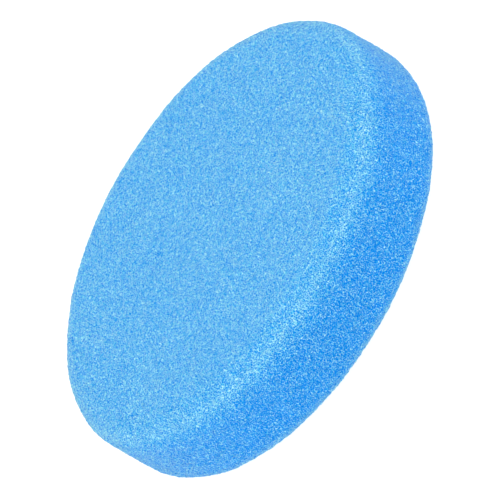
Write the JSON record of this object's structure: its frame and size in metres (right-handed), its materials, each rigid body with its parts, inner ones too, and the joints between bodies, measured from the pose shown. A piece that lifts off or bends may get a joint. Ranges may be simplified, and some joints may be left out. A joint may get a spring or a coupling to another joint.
{
  "type": "filter foam disc",
  "caption": "Round pad of fine open-cell filter foam with two flat faces, a straight side and rounded edges.",
  "frame": {"origin": "centre of the flat back face, which the disc lies on", "axes": "+Z along the disc's axis, out of the flat front face; X and Y are any two directions across the disc"},
  "size_m": [0.16, 0.16, 0.035],
  "materials": {
    "blue_filter_foam": "matte open-cell polyurethane foam, cut faces"
  },
  "bodies": {
    "root": {"foam_disc": "blue_filter_foam"}
  },
  "joints": []
}
